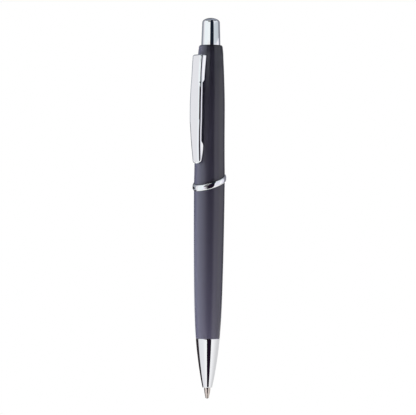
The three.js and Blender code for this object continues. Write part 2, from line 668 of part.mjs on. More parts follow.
function makeReturnSpring() {
  const sections = wound(SPRING_RADIUS, SPRING_WIRE, SPRING_TURNS, SPRING_STEPS, SPRING_SIDES, springHeight);
  console.log(`return_spring least gap to itself: ${leastGap(sections, SPRING_STEPS).toFixed(3)} mm`);
  return lofted(sections);
}

// Materials
const satinGrey = { color: 0x4b4a55, roughness: 0.35, metalness: 0 };
const chrome = { color: 0xe6e6ea, roughness: 0.08, metalness: 1 };
const nickelSilver = { color: 0xc9c2b4, roughness: 0.25, metalness: 1 };
const springSteel = { color: 0xb4b6ba, roughness: 0.3, metalness: 1 };
const whitePlastic = { color: 0xe8e8e4, roughness: 0.45, metalness: 0 };
const blackPlastic = { color: 0x202024, roughness: 0.45, metalness: 0 };
const clearPlastic = { color: 0xdfe4e8, roughness: 0.2, metalness: 0 };
const blueInk = { color: 0x16206a, roughness: 0.3, metalness: 0 };
const carbide = { color: 0x8a8c90, roughness: 0.15, metalness: 1 };

const pieces = [
  ['lower_barrel', makeLowerBarrel(), satinGrey],
  ['upper_barrel', makeUpperBarrel(), satinGrey],
  ['centre_ring', makeCentreRing(), chrome],
  ['barrel_coupling', makeCoupling(), blackPlastic],
  ['nose_cone', makeNoseCone(), chrome],
  ['pocket_clip', makeClip(), chrome],
  ['push_button', makePushButton(), chrome],
  ['thrust_sleeve', makeThrustSleeve(), whitePlastic],
  ['cam_rotor', makeCamRotor(), whitePlastic],
  ['cam_guide_sleeve', makeGuideSleeve(), blackPlastic],
  ['refill_tube', makeRefillTube(), clearPlastic],
  ['ink_column', makeInkColumn(), blueInk],
  ['refill_end_plug', makeEndPlug(), whitePlastic],
  ['tip_adaptor', makeTipAdaptor(), whitePlastic],
  ['writing_tip', makeWritingTip(), nickelSilver],
  ['tip_ball', makeTipBall(), carbide],
  ['return_spring', makeReturnSpring(), springSteel],
];

const pen = new THREE.Group();
for (const [name, geometry, look] of pieces) {
  const mesh = new THREE.Mesh(geometry, new THREE.MeshStandardMaterial(look));
  mesh.name = name;
  pen.add(mesh);
}

// The origin: between the barrel and the clip's grip, where its flanges come down to the barrel.
const gripShare = (CLIP_REACH[2][0] + CLIP_REACH[3][0]) / 2;
const gripHeight = CLIP_BOTTOM + gripShare * CLIP_LENGTH;
pen.position.set(0, upperRadius(gripHeight) + CLIP_GAP / 2, -gripHeight);

export default pen;
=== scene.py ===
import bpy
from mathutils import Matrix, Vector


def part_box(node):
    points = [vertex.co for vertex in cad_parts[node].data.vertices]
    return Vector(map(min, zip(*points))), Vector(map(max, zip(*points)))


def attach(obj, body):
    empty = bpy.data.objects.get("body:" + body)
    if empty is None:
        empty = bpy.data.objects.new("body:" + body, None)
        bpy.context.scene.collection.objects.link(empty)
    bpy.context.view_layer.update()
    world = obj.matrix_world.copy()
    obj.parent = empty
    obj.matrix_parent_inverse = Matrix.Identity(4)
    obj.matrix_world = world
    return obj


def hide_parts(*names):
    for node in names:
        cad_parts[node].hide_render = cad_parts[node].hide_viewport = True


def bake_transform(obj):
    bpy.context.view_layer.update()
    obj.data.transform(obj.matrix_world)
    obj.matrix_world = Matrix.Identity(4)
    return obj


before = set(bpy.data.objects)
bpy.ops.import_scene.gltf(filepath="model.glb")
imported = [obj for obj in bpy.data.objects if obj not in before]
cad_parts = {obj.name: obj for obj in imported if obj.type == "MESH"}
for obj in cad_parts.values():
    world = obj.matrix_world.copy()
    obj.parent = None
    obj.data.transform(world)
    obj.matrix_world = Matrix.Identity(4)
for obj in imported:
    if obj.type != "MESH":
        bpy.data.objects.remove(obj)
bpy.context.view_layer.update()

"""A retractable ballpoint pen, dressed round its CAD frame.

Shapes are built in millimetres in the pen's own coordinates: the axis is x = y = 0, heights run
up from the lowest point of the ball with the tip out, and the clip is on the -y side. `piece`
moves them to the frame. The places of the pieces come from the frame's boxes.
"""

import functools
import logging
import math
from dataclasses import dataclass
from enum import Enum
from typing import Callable, Iterable, NamedTuple, Optional, Sequence, Union

import bmesh
import bpy
from bpy.types import ID, Material, Node, NodeSocket, NodeTree, Object, World
from mathutils import Matrix, Quaternion, Vector

log = logging.getLogger("pen")

MM = 0.001
SIDES = 160  # of a turned piece
ARC_STEPS = 5  # of a rounded edge
SHARED_SIDE = 0.5  # most of a side that an arc takes where the next corner is rounded too
LONE_SIDE = 0.98  # and where it isn't
POLE = 1e-6  # radius under which a turned point is on the axis
CREASE = 32.0  # degrees, above which an edge is drawn sharp
BEVEL_FROM = 40.0  # degrees, above which an edge of a block is rounded
BEVEL_STEPS = 3
GRAIN_DETAIL = 4.0  # octaves of the noise that varies colour and roughness
RELIEF_DETAIL = 2.0  # octaves of the noise that varies the surface
QUARTER = math.pi / 2
WHITE = "#FFFFFF"
BLOCK_FACES = ((0, 2, 3, 1), (4, 5, 7, 6), (0, 1, 5, 4), (2, 6, 7, 3), (0, 4, 6, 2), (1, 3, 7, 5))

# Roundings of small edges, in millimetres
KEEN = 0.05
FINE = 0.08
BROKEN = 0.1
SOFT = 0.15
FULL = 0.2

Value = Union[float, int, Sequence[float], Node, NodeSocket]
Span = Sequence[float]


class Body(Enum):
    """The CAD bodies that pieces ride on."""

    BARREL = "barrel"
    NOSE = "nose"
    CLIP = "clip"
    PLUNGER = "plunger"
    REFILL = "refill"
    BALL = "ball"


class Slot(Enum):
    """The record's material slots."""

    BARREL_PLASTIC = "satin_grey_plastic"
    CHROME = "chrome_plate"
    BLACK_PLASTIC = "black_plastic"
    WHITE_PLASTIC = "white_plastic"
    CLEAR_PLASTIC = "clear_plastic"
    INK = "blue_ink"
    NICKEL_SILVER = "nickel_silver"
    BALL_METAL = "ball_steel"
    SPRING_WIRE = "spring_steel"


class Join(Enum):
    """How one solid is combined with another."""

    ADD = "UNION"
    CUT = "DIFFERENCE"


# The pen's axis and heights


@dataclass(frozen=True)
class Axis:
    """Where the pen's own coordinates lie in the frame, in millimetres."""

    x: float
    y: float
    foot: float

    @classmethod
    def of_frame(cls) -> "Axis":
        """Reads the axis from the nose cone's box and the foot from the ball's.

        Returns:
            The place of the pen's coordinates.
        """
        low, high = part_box("nose_cone")
        ball_low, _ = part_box("tip_ball")
        return cls((low.x + high.x) / 2 / MM, (low.y + high.y) / 2 / MM, ball_low.z / MM)

    def place(self, point: Vector) -> Vector:
        """Turns a point of the pen's coordinates into the frame's, in metres."""
        return Vector((point.x + self.x, point.y + self.y, point.z + self.foot)) * MM

    @functools.cache
    def heights(self, node: str) -> tuple[float, float]:
        """Lowest and highest point of a CAD node, in the pen's coordinates."""
        low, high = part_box(node)
        return low.z / MM - self.foot, high.z / MM - self.foot


AXIS = Axis.of_frame()


# Meshes


def spread(start: float, end: float, steps: int) -> list[float]:
    """Numbers from start to end in equal steps, both included."""
    return [start + (end - start) * step / steps for step in range(steps + 1)]


def spoke(radius: float, angle: float, height: float) -> Vector:
    """The point at an angle round the pen's axis."""
    return Vector((radius * math.cos(angle), radius * math.sin(angle), height))


def put(name: str, data: ID) -> Object:
    """Puts a mesh, a lamp or a camera into the scene.

    Args:
        name: The object's name.
        data: The mesh, lamp or camera.

    Returns:
        The object.
    """
    made = bpy.data.objects.new(name, data)
    bpy.context.scene.collection.objects.link(made)
    return made


def piece(name: str, points: Sequence[Vector], faces: Sequence[Sequence[int]]) -> Object:
    """Makes an object from a closed mesh in the pen's coordinates.

    Args:
        name: The object's name.
        points: Corners in millimetres.
        faces: Corner numbers of each face.

    Returns:
        The object, with its faces turned outwards.
    """
    mesh = bpy.data.meshes.new(name)
    mesh.from_pydata([AXIS.place(point) for point in points], [], faces)
    form = bmesh.new()
    form.from_mesh(mesh)
    bmesh.ops.recalc_face_normals(form, faces=form.faces)
    form.to_mesh(mesh)
    form.free()
    return put(name, mesh)


class Skin:
    """A closed mesh that is being built."""

    def __init__(self) -> None:
        """Starts with no points and no faces."""
        self.points: list[Vector] = []
        self.faces: list[Sequence[int]] = []

    def row(self, points: Iterable[Vector]) -> range:
        """Adds points.

        Args:
            points: The points.

        Returns:
            Their numbers.
        """
        start = len(self.points)
        self.points.extend(points)
        return range(start, len(self.points))

    def bridge(self, rows: Sequence[Sequence[int]], closed: bool = True) -> None:
        """Joins each row of points to the next. A row of one point is a pole.

        Args:
            rows: The points' numbers.
            closed: Whether the last point of a row is beside its first.
        """
        sides = max(map(len, rows))
        for low, high in zip(rows, rows[1:]):
            for i in range(sides if closed else sides - 1):
                j = (i + 1) % sides
                loop = (low[i % len(low)], low[j % len(low)], high[j % len(high)], high[i % len(high)])
                self.faces.append(tuple(dict.fromkeys(loop)))


def shade(made: Object) -> None:
    """Shades a piece smooth, and sharp along edges that turn by more than the crease."""
    made.data.shade_smooth()
    made.data.set_sharp_from_angle(angle=math.radians(CREASE))


def settle(made: Object) -> None:
    """Keeps the result of a piece's modifier in its mesh.

    Args:
        made: The piece.
    """
    graph = bpy.context.evaluated_depsgraph_get()
    result = bpy.data.meshes.new_from_object(made.evaluated_get(graph))
    made.modifiers.clear()
    made.data = result


def combine(target: Object, other: Object, how: Join) -> None:
    """Adds a solid to a target or cuts it out, and removes the other object.

    Args:
        target: The object that keeps its name and gets the result.
        other: The solid that is used up.
        how: Whether it is added or cut.
    """
    boolean = target.modifiers.new("combine", "BOOLEAN")
    boolean.operation = how.value
    boolean.solver = "EXACT"
    boolean.object = other
    settle(target)
    bpy.data.objects.remove(other)


def soften(made: Object, width: float) -> None:
    """Rounds the sharp edges of a piece and keeps the result in its mesh.

    Args:
        made: The piece.
        width: Size of the rounding in millimetres.
    """
    bevel = made.modifiers.new("soften", "BEVEL")
    bevel.width = width * MM
    bevel.segments = BEVEL_STEPS
    bevel.limit_method = "ANGLE"
    bevel.angle_limit = math.radians(BEVEL_FROM)
    settle(made)


class Corner(NamedTuple):
    """A point of a turned outline: distance from the axis, height and rounding, in millimetres."""

    radius: float
    height: float
    rounding: float = 0.0


def rounded(corners: Sequence[Corner], closed: bool) -> list[Vector]:
    """Replaces each corner that has a rounding by an arc.

    Args:
        corners: The outline.
        closed: Whether the last corner is joined to the first.

    Returns:
        Points (radius, height), the arcs tangent to both sides and no longer than they allow.
    """
    points = []
    count = len(corners)
    spots = [Vector(corner[:2]) for corner in corners]
    for i, (corner, here) in enumerate(zip(corners, spots)):
        if corner.rounding <= 0 or (not closed and i in (0, count - 1)):
            points.append(here)
            continue
        near = (i - 1, (i + 1) % count)
        sides = [spots[n] - here for n in near]
        half = sides[0].angle(sides[1]) / 2
        shares = [SHARED_SIDE if corners[n].rounding > 0 else LONE_SIDE for n in near]
        room = min(side.length * share for side, share in zip(sides, shares))
        reach = min(corner.rounding / math.tan(half), room)
        back, ahead = (side.normalized() for side in sides)
        start, end = here + back * reach, here + ahead * reach
        middle = here + (back + ahead).normalized() * (reach / math.cos(half))
        turn = (start - middle).angle_signed(end - middle)
        for part in spread(0, -turn, ARC_STEPS):
            arm = start - middle
            arm.rotate(Matrix.Rotation(part, 2))
            points.append(middle + arm)
    return points


def bow(middle: Corner, across: float, tall: float, turns: Span, steps: int) -> list[Corner]:
    """Points of an outline along part of an ellipse.

    Args:
        middle: The ellipse's middle.
        across: Half its width.
        tall: Half its height.
        turns: Where the part starts and ends, in radians up from level.
        steps: How many spans it has.

    Returns:
        The points.
    """
    return [
        Corner(middle.radius + across * math.cos(turn), middle.height + tall * math.sin(turn))
        for turn in spread(*turns, steps)
    ]


def turned(name: str, corners: Sequence[Corner], sides: int = SIDES) -> Object:
    """Turns an outline about the pen's axis.

    Args:
        name: The object's name.
        corners: The outline, which closes on itself or starts and ends on the axis.
        sides: How many steps go round.

    Returns:
        The object.
    """
    on_axis = corners[0].radius < POLE and corners[-1].radius < POLE
    outline = rounded(corners, not on_axis)
    skin = Skin()
    rings = []
    for radius, height in outline:
        steps = 1 if radius < POLE else sides
        rings.append(skin.row(spoke(radius, i / steps * math.tau, height) for i in range(steps)))
    skin.bridge(rings if on_axis else [*rings, rings[0]])
    return piece(name, skin.points, skin.faces)


def blocked(name: str, across: Span, deep: Span, tall: Span) -> Object:
    """Makes a solid block from its spans in x, y and z."""
    return piece(name, [Vector((x, y, z)) for z in tall for y in deep for x in across], BLOCK_FACES)


def wired(name: str, line: Sequence[Vector], radius: float, sides: int) -> Object:
    """Makes a wire that winds about the pen's axis.

    Args:
        name: The object's name.
        line: The wire's middle line.
        radius: The wire's radius.
        sides: How many sides its section has.

    Returns:
        The object, closed at both ends.
    """
    skin = Skin()
    rings = []
    section = [spoke(radius, side / sides * math.tau, 0) for side in range(sides)]
    for middle in line:
        out = Vector((middle.x, middle.y, 0)).normalized()
        rings.append(skin.row(middle + out * spot.x + Vector((0, 0, spot.y)) for spot in section))
    skin.bridge(rings)
    skin.faces += [rings[0], rings[-1][::-1]]
    return piece(name, skin.points, skin.faces)


def eased(share: float) -> float:
    """Goes from 0 to 1 with no corner at either end."""
    t = min(max(share, 0.0), 1.0)
    return t * t * (3 - 2 * t)


@dataclass(frozen=True)
class Curve:
    """A value that changes smoothly along a length, through marks (share of the length, value)."""

    marks: tuple[tuple[float, float], ...]
    steps: int = 60  # spans of an outline that follows it
    clear: float = 0.4  # from that outline's end corners to the points beside them

    def _slope(self, i: int) -> float:
        """Slope at a mark: between those of its two sides, and none at a peak or dip.

        Args:
            i: The mark's number.

        Returns:
            The slope.
        """
        rises = [(b[1] - a[1]) / (b[0] - a[0]) for a, b in zip(self.marks, self.marks[1:])]
        if i == 0 or i == len(self.marks) - 1:
            return rises[min(i, len(rises) - 1)]
        before, after = rises[i - 1], rises[i]
        return 0.0 if before * after <= 0 else 2 * before * after / (before + after)

    def at(self, share: float) -> float:
        """Follows the curve through its marks.

        Args:
            share: Share of the length.

        Returns:
            The value there.
        """
        share = min(max(share, self.marks[0][0]), self.marks[-1][0])
        i = max(n for n, mark in enumerate(self.marks[:-1]) if mark[0] <= share)
        (x0, y0), (x1, y1) = self.marks[i], self.marks[i + 1]
        span = x1 - x0
        t = (share - x0) / span
        bend = self._slope(i) * (1 - t) - self._slope(i + 1) * t
        return y0 + (y1 - y0) * eased(t) + span * t * (1 - t) * bend

    def side(self, bottom: float, top: float, edge: float) -> list[Corner]:
        """Follows the curve up one side of an outline.

        Args:
            bottom: Height of its lower end.
            top: Height of its upper end.
            edge: Rounding of the corner at either end.

        Returns:
            The corners and the points between them.
        """
        margin = self.clear / (top - bottom)
        shares = spread(margin, 1 - margin, self.steps)
        inner = [Corner(self.at(share), bottom + share * (top - bottom)) for share in shares]
        return [Corner(self.at(0), bottom, edge), *inner, Corner(self.at(1), top, edge)]


def slant(made: Object, slope: float, weight: Callable[[float], float]) -> None:
    """Moves a piece's corners up towards the back and down towards the clip.

    Args:
        made: The piece.
        slope: Rise for each millimetre from the axis.
        weight: How much a corner at a height is moved, from 0 to 1.
    """
    for vertex in made.data.vertices:
        height = vertex.co.z / MM - AXIS.foot
        vertex.co.z += slope * weight(height) * (vertex.co.y - AXIS.y * MM)
    made.data.update()


# Finishes


def linear(code: str) -> tuple[float, float, float, float]:
    """Turns a colour from sRGB to linear.

    Args:
        code: The sRGB colour in hex.

    Returns:
        Linear red, green and blue, and 1 for opaque.
    """
    parts = [int(code[i : i + 2], 16) / 255 for i in (1, 3, 5)]
    red, green, blue = (c / 12.92 if c <= 0.04045 else ((c + 0.055) / 1.055) ** 2.4 for c in parts)
    return red, green, blue, 1.0


def cleared(made: Union[Material, World]) -> NodeTree:
    """Gives a material or the world an empty node tree.

    Args:
        made: The material or world.

    Returns:
        The tree.
    """
    made.use_nodes = True
    made.node_tree.nodes.clear()
    return made.node_tree


def add(
    tree: NodeTree, kind: str, inputs: Optional[dict[str, Value]] = None, **settings: object
) -> Node:
    """Adds a node with its settings and links.

    Args:
        tree: The node tree.
        kind: The node's type.
        inputs: Values for its inputs, or nodes or sockets to link them to.
        settings: The node's own properties.

    Returns:
        The node.
    """
    node = tree.nodes.new("ShaderNode" + kind)
    for name, value in settings.items():
        setattr(node, name, value)
    for name, value in (inputs or {}).items():
        socket = node.inputs[int(name)] if name.isdigit() else node.inputs[name]
        if isinstance(value, Node):
            value = next(output for output in value.outputs if output.enabled)
        if isinstance(value, NodeSocket):
            tree.links.new(value, socket)
        else:
            socket.default_value = value
    return node


def per_mm(size: float) -> float:
    """Texture scale at which one cell is so many millimetres."""
    return 1 / (size * MM)


@dataclass(frozen=True)
class Finish:
    """What every finish has: a colour, how rough it is, and the grain that varies both."""

    name: str
    slot: Slot  # the record's slot for what is made of it
    colour: str
    shade: str  # the colour that the grain drifts towards
    roughness: float
    roughness_drift: float
    grain: float  # millimetres
    relief: float  # millimetres
    relief_grain: float  # millimetres

    def tune(self, shader: Node) -> None:
        """Sets what only this finish has on its shader's sockets."""

    def stretch(self) -> tuple[float, float, float]:
        """How much finer the grain is along each axis."""
        return 1.0, 1.0, 1.0

    @functools.cache
    def material(self) -> Material:
        """Builds the finish, once.

        Returns:
            The material.
        """
        made = bpy.data.materials.new(self.name)
        tree = cleared(made)
        place = add(tree, "TexCoord").outputs["Object"]
        drawn = add(tree, "Mapping", {"Vector": place, "Scale": self.stretch()})
        grain, fine = (
            add(tree, "TexNoise", {"Vector": drawn, "Scale": per_mm(size), "Detail": detail})
            for size, detail in ((self.grain, GRAIN_DETAIL), (self.relief_grain, RELIEF_DETAIL))
        )
        ends = {"Factor": grain, "A": linear(self.colour), "B": linear(self.shade)}
        colour = add(tree, "Mix", ends, data_type="RGBA")
        least, most = self.roughness - self.roughness_drift, self.roughness + self.roughness_drift
        rough = add(tree, "MapRange", {"Value": grain, "To Min": least, "To Max": most})
        bump = add(tree, "Bump", {"Height": fine, "Distance": self.relief * MM, "Strength": 1.0})
        inputs = {"Base Color": colour, "Roughness": rough, "Normal": bump}
        shader = add(tree, "BsdfPrincipled", inputs)
        self.tune(shader)
        add(tree, "OutputMaterial", {"Surface": shader})
        return made


@dataclass(frozen=True)
class Plastic(Finish):
    """A moulded plastic: a body colour under a clear, slightly uneven skin."""

    ior: float = 1.5
    clearness: float = 0.0

    def tune(self, shader: Node) -> None:
        """Sets the skin's index, and lets light through where the plastic does."""
        shader.inputs["IOR"].default_value = self.ior
        shader.inputs["Transmission Weight"].default_value = self.clearness


@dataclass(frozen=True)
class Metal(Finish):
    """A bare or plated metal, whose grain can be drawn out along or round the pen."""

    drawn: tuple[float, float, float] = (1.0, 1.0, 1.0)

    def tune(self, shader: Node) -> None:
        """Makes the surface metallic."""
        shader.inputs["Metallic"].default_value = 1.0

    def stretch(self) -> tuple[float, float, float]:
        """How much finer the grain is along each axis."""
        return self.drawn


# ABS moulded in a polished tool: dark violet grey, with a clear reflection whose edge is a little soft.
BARREL_ABS = Plastic(
    "moulded_abs_violet_grey", Slot.BARREL_PLASTIC, "#444151", "#413F4E",
    0.15, 0.02, 2.5, 0.0006, 0.35, ior=1.54,
)
# Bright chromium on polished ABS: near white, mirror-like, with the faint swell of the plastic below.
CHROMIUM = Metal(
    "chromium_plate_bright", Slot.CHROME, "#F0F0F2", "#ECEDF0",
    0.045, 0.012, 3.0, 0.0008, 1.6,
)
# Nickel silver, turned: a warm grey with fine rings of the tool round the tip.
NICKEL_SILVER = Metal(
    "nickel_silver_turned", Slot.NICKEL_SILVER, "#DAD0CA", "#C4B9B2",
    0.1, 0.03, 1.2, 0.0015, 0.5, drawn=(1.0, 1.0, 8.0),
)
# Tungsten carbide, lapped: a dark, neutral mirror.
CARBIDE = Metal(
    "tungsten_carbide_lapped", Slot.BALL_METAL, "#8C8E91", "#85878A",
    0.08, 0.02, 0.4, 0.0004, 0.2,
)
# Music wire, drawn and tinned: light grey with streaks that run along the wire.
MUSIC_WIRE = Metal(
    "music_wire_tinned", Slot.SPRING_WIRE, "#B9BBBF", "#9A9CA1",
    0.26, 0.07, 0.5, 0.002, 0.25, drawn=(1.0, 1.0, 3.0),
)
# Acetal, moulded: a milky white with a dull, waxy sheen.
ACETAL = Plastic(
    "acetal_natural_moulded", Slot.WHITE_PLASTIC, "#BFBFB8", "#B8B8B0",
    0.38, 0.05, 1.5, 0.002, 0.3, ior=1.48,
)
# Nylon, moulded: near black, with the dull grain of an etched tool.
NYLON = Plastic(
    "nylon_black_moulded", Slot.BLACK_PLASTIC, "#212125", "#28282C",
    0.48, 0.06, 0.6, 0.004, 0.15, ior=1.53,
)
# Polypropylene tube, extruded: cloudy and colourless, with lines drawn along it.
POLYPROPYLENE = Plastic(
    "polypropylene_extruded", Slot.CLEAR_PLASTIC, "#E8EDF0", "#DDE3E7",
    0.24, 0.05, 0.8, 0.002, 0.3, ior=1.49, clearness=0.75,
)
# Ball pen ink: a deep blue paste that looks almost black in the tube.
INK_PASTE = Plastic(
    "ink_paste_blue", Slot.INK, "#12205E", "#0E1A50",
    0.16, 0.03, 1.0, 0.001, 0.5, ior=1.46,
)


def dress(made: Object, finish: Finish) -> None:
    """Gives a piece its material.

    Args:
        made: The piece or CAD node.
        finish: What it is made of.
    """
    made.data.materials.clear()
    made.data.materials.append(finish.material())


def seat(made: Object, finish: Finish, body: Body, node: str) -> None:
    """Shades and dresses a piece, lets it ride on its body and hides what it stands for.

    Args:
        made: The piece.
        finish: What it is made of.
        body: The body that it moves with.
        node: The CAD node that it replaces.
    """
    shade(made)
    dress(made, finish)
    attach(made, body.value)
    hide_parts(node)
    log.info("%s: %d faces", made.name, len(made.data.polygons))


# The barrel


@dataclass
class CentreRing:
    """The chrome ring between the barrel's halves, which slopes down towards the clip's side."""

    width: float = 2.3
    radius: float = 6.17
    rounding: float = 0.65
    fullness: float = 3.0  # power of the face's curve: 2 is an ellipse, more is flatter
    slope: float = 0.375
    bore: float = 4.45
    seam: float = 0.06  # between the ring and either half
    slope_run: float = 9.0  # length of barrel over which its end takes up the slope
    face_steps: int = 36

    def __post_init__(self) -> None:
        """Finds the heights of the ring's middle and of the halves' ends, on the axis."""
        self.middle = sum(AXIS.heights("centre_ring")) / 2
        self.below = self.middle - self.width / 2 - self.seam
        self.above = self.middle + self.width / 2 + self.seam

    def weight(self, height: float) -> float:
        """How much of the slope the barrel has at a height."""
        away = max(self.below - height, height - self.above, 0.0)
        return 1 - eased(away / self.slope_run)

    def build(self) -> None:
        """Builds the ring: a band with a full, rounded face."""
        half = self.width / 2
        face = []
        for turn in spread(-QUARTER, QUARTER, self.face_steps):
            out = max(math.cos(turn), 0.0) ** (2 / self.fullness)
            up = math.copysign(abs(math.sin(turn)) ** (2 / self.fullness), turn)
            face.append(Corner(self.radius - self.rounding * (1 - out), self.middle + half * up))
        corners = [Corner(self.bore, self.middle - half), *face, Corner(self.bore, self.middle + half)]
        ring = turned("centre_band", corners)
        slant(ring, self.slope, lambda height: 1.0)
        seat(ring, CHROMIUM, Body.BARREL, "centre_ring")


@dataclass
class Half:
    """What the barrel's halves share: the ring between them and the coupling that joins them."""

    ring: CentreRing
    coupling_bore: float = 4.45
    coupling_seat: float = 11.06  # from the ring's middle to the coupling's end

    def place(self, shell: Object, node: str) -> None:
        """Gives a finished half the ring's slope and seats it."""
        slant(shell, self.ring.slope, self.ring.weight)
        seat(shell, BARREL_ABS, Body.BARREL, node)


@dataclass
class LowerBarrel(Half):
    """The lower half: a bulged shell with a threaded spigot for the nose cone."""

    outline: Curve = Curve(
        (
            (0, 4.39), (0.05, 4.58), (0.1, 4.76), (0.25, 5.09), (0.41, 5.3), (0.56, 5.45), (0.76, 5.58),
            (0.92, 5.64), (1, 5.65),
        ),
        steps=70,
    )
    edge: float = 0.2
    seam: float = 0.06  # to the nose cone
    bore: float = 3.9
    spigot_bore: float = 2.4
    spigot_radius: float = 2.9
    taper_start: float = 2.0  # above the nose seam
    taper_length: float = 15.0
    thread_depth: float = 0.2
    thread_pitch: float = 1.25
    thread_turns: int = 3
    thread_start: float = 0.7  # above the spigot's end
    thread_run_out: float = 0.25  # turns over which it runs out
    thread_steps: int = 40  # in each turn
    thread_sides: int = 6

    def thread(self, bottom: float) -> Object:
        """Makes the thread's ridge, which runs out to nothing at both ends.

        Args:
            bottom: Height of the spigot's end.

        Returns:
            The ridge.
        """
        line = []
        for turn in spread(0, self.thread_turns, self.thread_turns * self.thread_steps):
            run_out = min(turn, self.thread_turns - turn, self.thread_run_out) / self.thread_run_out
            radius = self.spigot_radius - self.thread_depth * (1 - run_out)
            height = bottom + self.thread_start + turn * self.thread_pitch
            line.append(spoke(radius, turn * math.tau, height))
        return wired("thread", line, self.thread_depth, self.thread_sides)

    def build(self) -> None:
        """Builds the half with its spigot, bore and sloping upper end."""
        spigot_end, _ = AXIS.heights("lower_barrel")
        bottom = AXIS.heights("nose_cone")[1] + self.seam
        top = self.ring.below
        seat_height = self.ring.middle - self.coupling_seat
        taper = bottom + self.taper_start
        corners = [
            Corner(self.spigot_bore, spigot_end, BROKEN),
            Corner(self.spigot_radius, spigot_end, FULL),
            Corner(self.spigot_radius, bottom),
            *self.outline.side(bottom, top, self.edge),
            Corner(self.coupling_bore, top, BROKEN),
            Corner(self.coupling_bore, seat_height),
            Corner(self.bore, seat_height),
            Corner(self.bore, taper + self.taper_length),
            Corner(self.spigot_bore, taper),
        ]
        shell = turned("barrel_lower_half", corners)
        combine(shell, self.thread(spigot_end), Join.ADD)
        self.place(shell, "lower_barrel")


@dataclass
class UpperBarrel(Half):
    """The upper half: a tapering shell that guides the button and carries the clip."""

    outline: Curve = Curve(
        (
            (0, 5.64), (0.09, 5.57), (0.31, 5.44), (0.54, 5.39), (0.63, 5.31), (0.73, 5.14), (0.82, 4.96),
            (0.91, 4.72), (0.955, 4.63), (1, 4.4),
        )
    )
    edge: float = 0.12
    shoulder: float = 1.0
    lip: float = 0.13
    button_bore: float = 3.65
    guide_pocket: float = 4.01
    block_length: float = 7.6
    block_gap: float = 0.15
    block_edge: float = 0.45
    slot_half: float = 1.35
    slot_gap: float = 0.15
    slot_depth: float = 0.4
    shoulder_steps: int = 12

    def __post_init__(self) -> None:
        """Finds the height of the upper end."""
        self.top = AXIS.heights("upper_barrel")[1]

    def radius(self, height: float) -> float:
        """Outer radius at a height."""
        bottom = self.ring.above
        return self.outline.at((height - bottom) / (self.top - self.shoulder - bottom))

    def shell(self) -> Object:
        """Turns the shell with its rounded shoulder and stepped bore.

        Returns:
            The shell, square to the axis at both ends.
        """
        bottom, foot = self.ring.above, self.top - self.shoulder
        lip = self.button_bore + self.lip
        crown_width = self.outline.at(1) - lip
        guide_top = AXIS.heights("cam_guide_sleeve")[1] + self.ring.seam
        seat_height = self.ring.middle + self.coupling_seat
        corners = [
            *self.outline.side(bottom, foot, self.edge)[:-1],
            *bow(Corner(lip, foot), crown_width, self.shoulder, (0, QUARTER), self.shoulder_steps),
            Corner(self.button_bore, self.top, KEEN),
            Corner(self.button_bore, guide_top),
            Corner(self.guide_pocket, guide_top),
            Corner(self.guide_pocket, seat_height),
            Corner(self.coupling_bore, seat_height),
            Corner(self.coupling_bore, bottom, BROKEN),
        ]
        return turned("barrel_upper_half", corners)

    def block(self, clip: "PocketClip") -> Object:
        """Makes the block that fills the root of the clip.

        Args:
            clip: The clip.

        Returns:
            The block.
        """
        top = clip.top - clip.sheet - self.slot_gap
        bottom = top - self.block_length
        inner = clip.sheet + self.block_gap
        half = min(clip.half_width(bottom), clip.half_width(top)) - inner
        root = self.radius(top) - self.slot_depth
        points = []
        for height in (bottom, top):
            face = clip.face(height) - inner
            points.extend(Vector((x, -y, height)) for y in (root, face) for x in (-half, half))
        block = piece("clip_block", points, BLOCK_FACES)
        soften(block, self.block_edge)
        return block

    def build(self, clip: "PocketClip") -> None:
        """Builds the half with the clip's block and the slot for its tongue.

        Args:
            clip: The clip.
        """
        shell = self.shell()
        combine(shell, self.block(clip), Join.ADD)
        slot = blocked(
            "clip_slot",
            (-self.slot_half, self.slot_half),
            (-self.radius(clip.top) - self.slot_depth, -self.button_bore / 2),
            (clip.top - clip.sheet - self.slot_gap, clip.top + self.slot_gap),
        )
        combine(shell, slot, Join.CUT)
        self.place(shell, "upper_barrel")


@dataclass
class NoseCone:
    """The chrome cone that guides the tip and holds the return spring."""

    outline: Curve = Curve(
        ((0, 1.76), (0.08, 2.06), (0.2, 2.49), (0.45, 3.22), (0.7, 3.84), (0.88, 4.2), (1, 4.38)),
        clear=0.3,
    )
    opening: float = 1.4
    spring_seat: float = 6.35  # above the cone's end
    spring_bore: float = 2.4
    thread_bore: float = 3.2
    thread_gap: float = 0.15  # below the spigot's end
    edge: float = 0.12

    def build(self) -> None:
        """Builds the cone with its stepped bore."""
        bottom, top = AXIS.heights("nose_cone")
        spring_height = bottom + self.spring_seat
        thread_end = AXIS.heights("lower_barrel")[0] - self.thread_gap
        corners = [
            Corner(self.opening, bottom, BROKEN),
            *self.outline.side(bottom, top, self.edge),
            Corner(self.thread_bore, top, SOFT),
            Corner(self.thread_bore, thread_end),
            Corner(self.spring_bore, thread_end),
            Corner(self.spring_bore, spring_height),
            Corner(self.opening, spring_height),
        ]
        seat(turned("nose_cone_plated", corners), CHROMIUM, Body.NOSE, "nose_cone")


# The clip


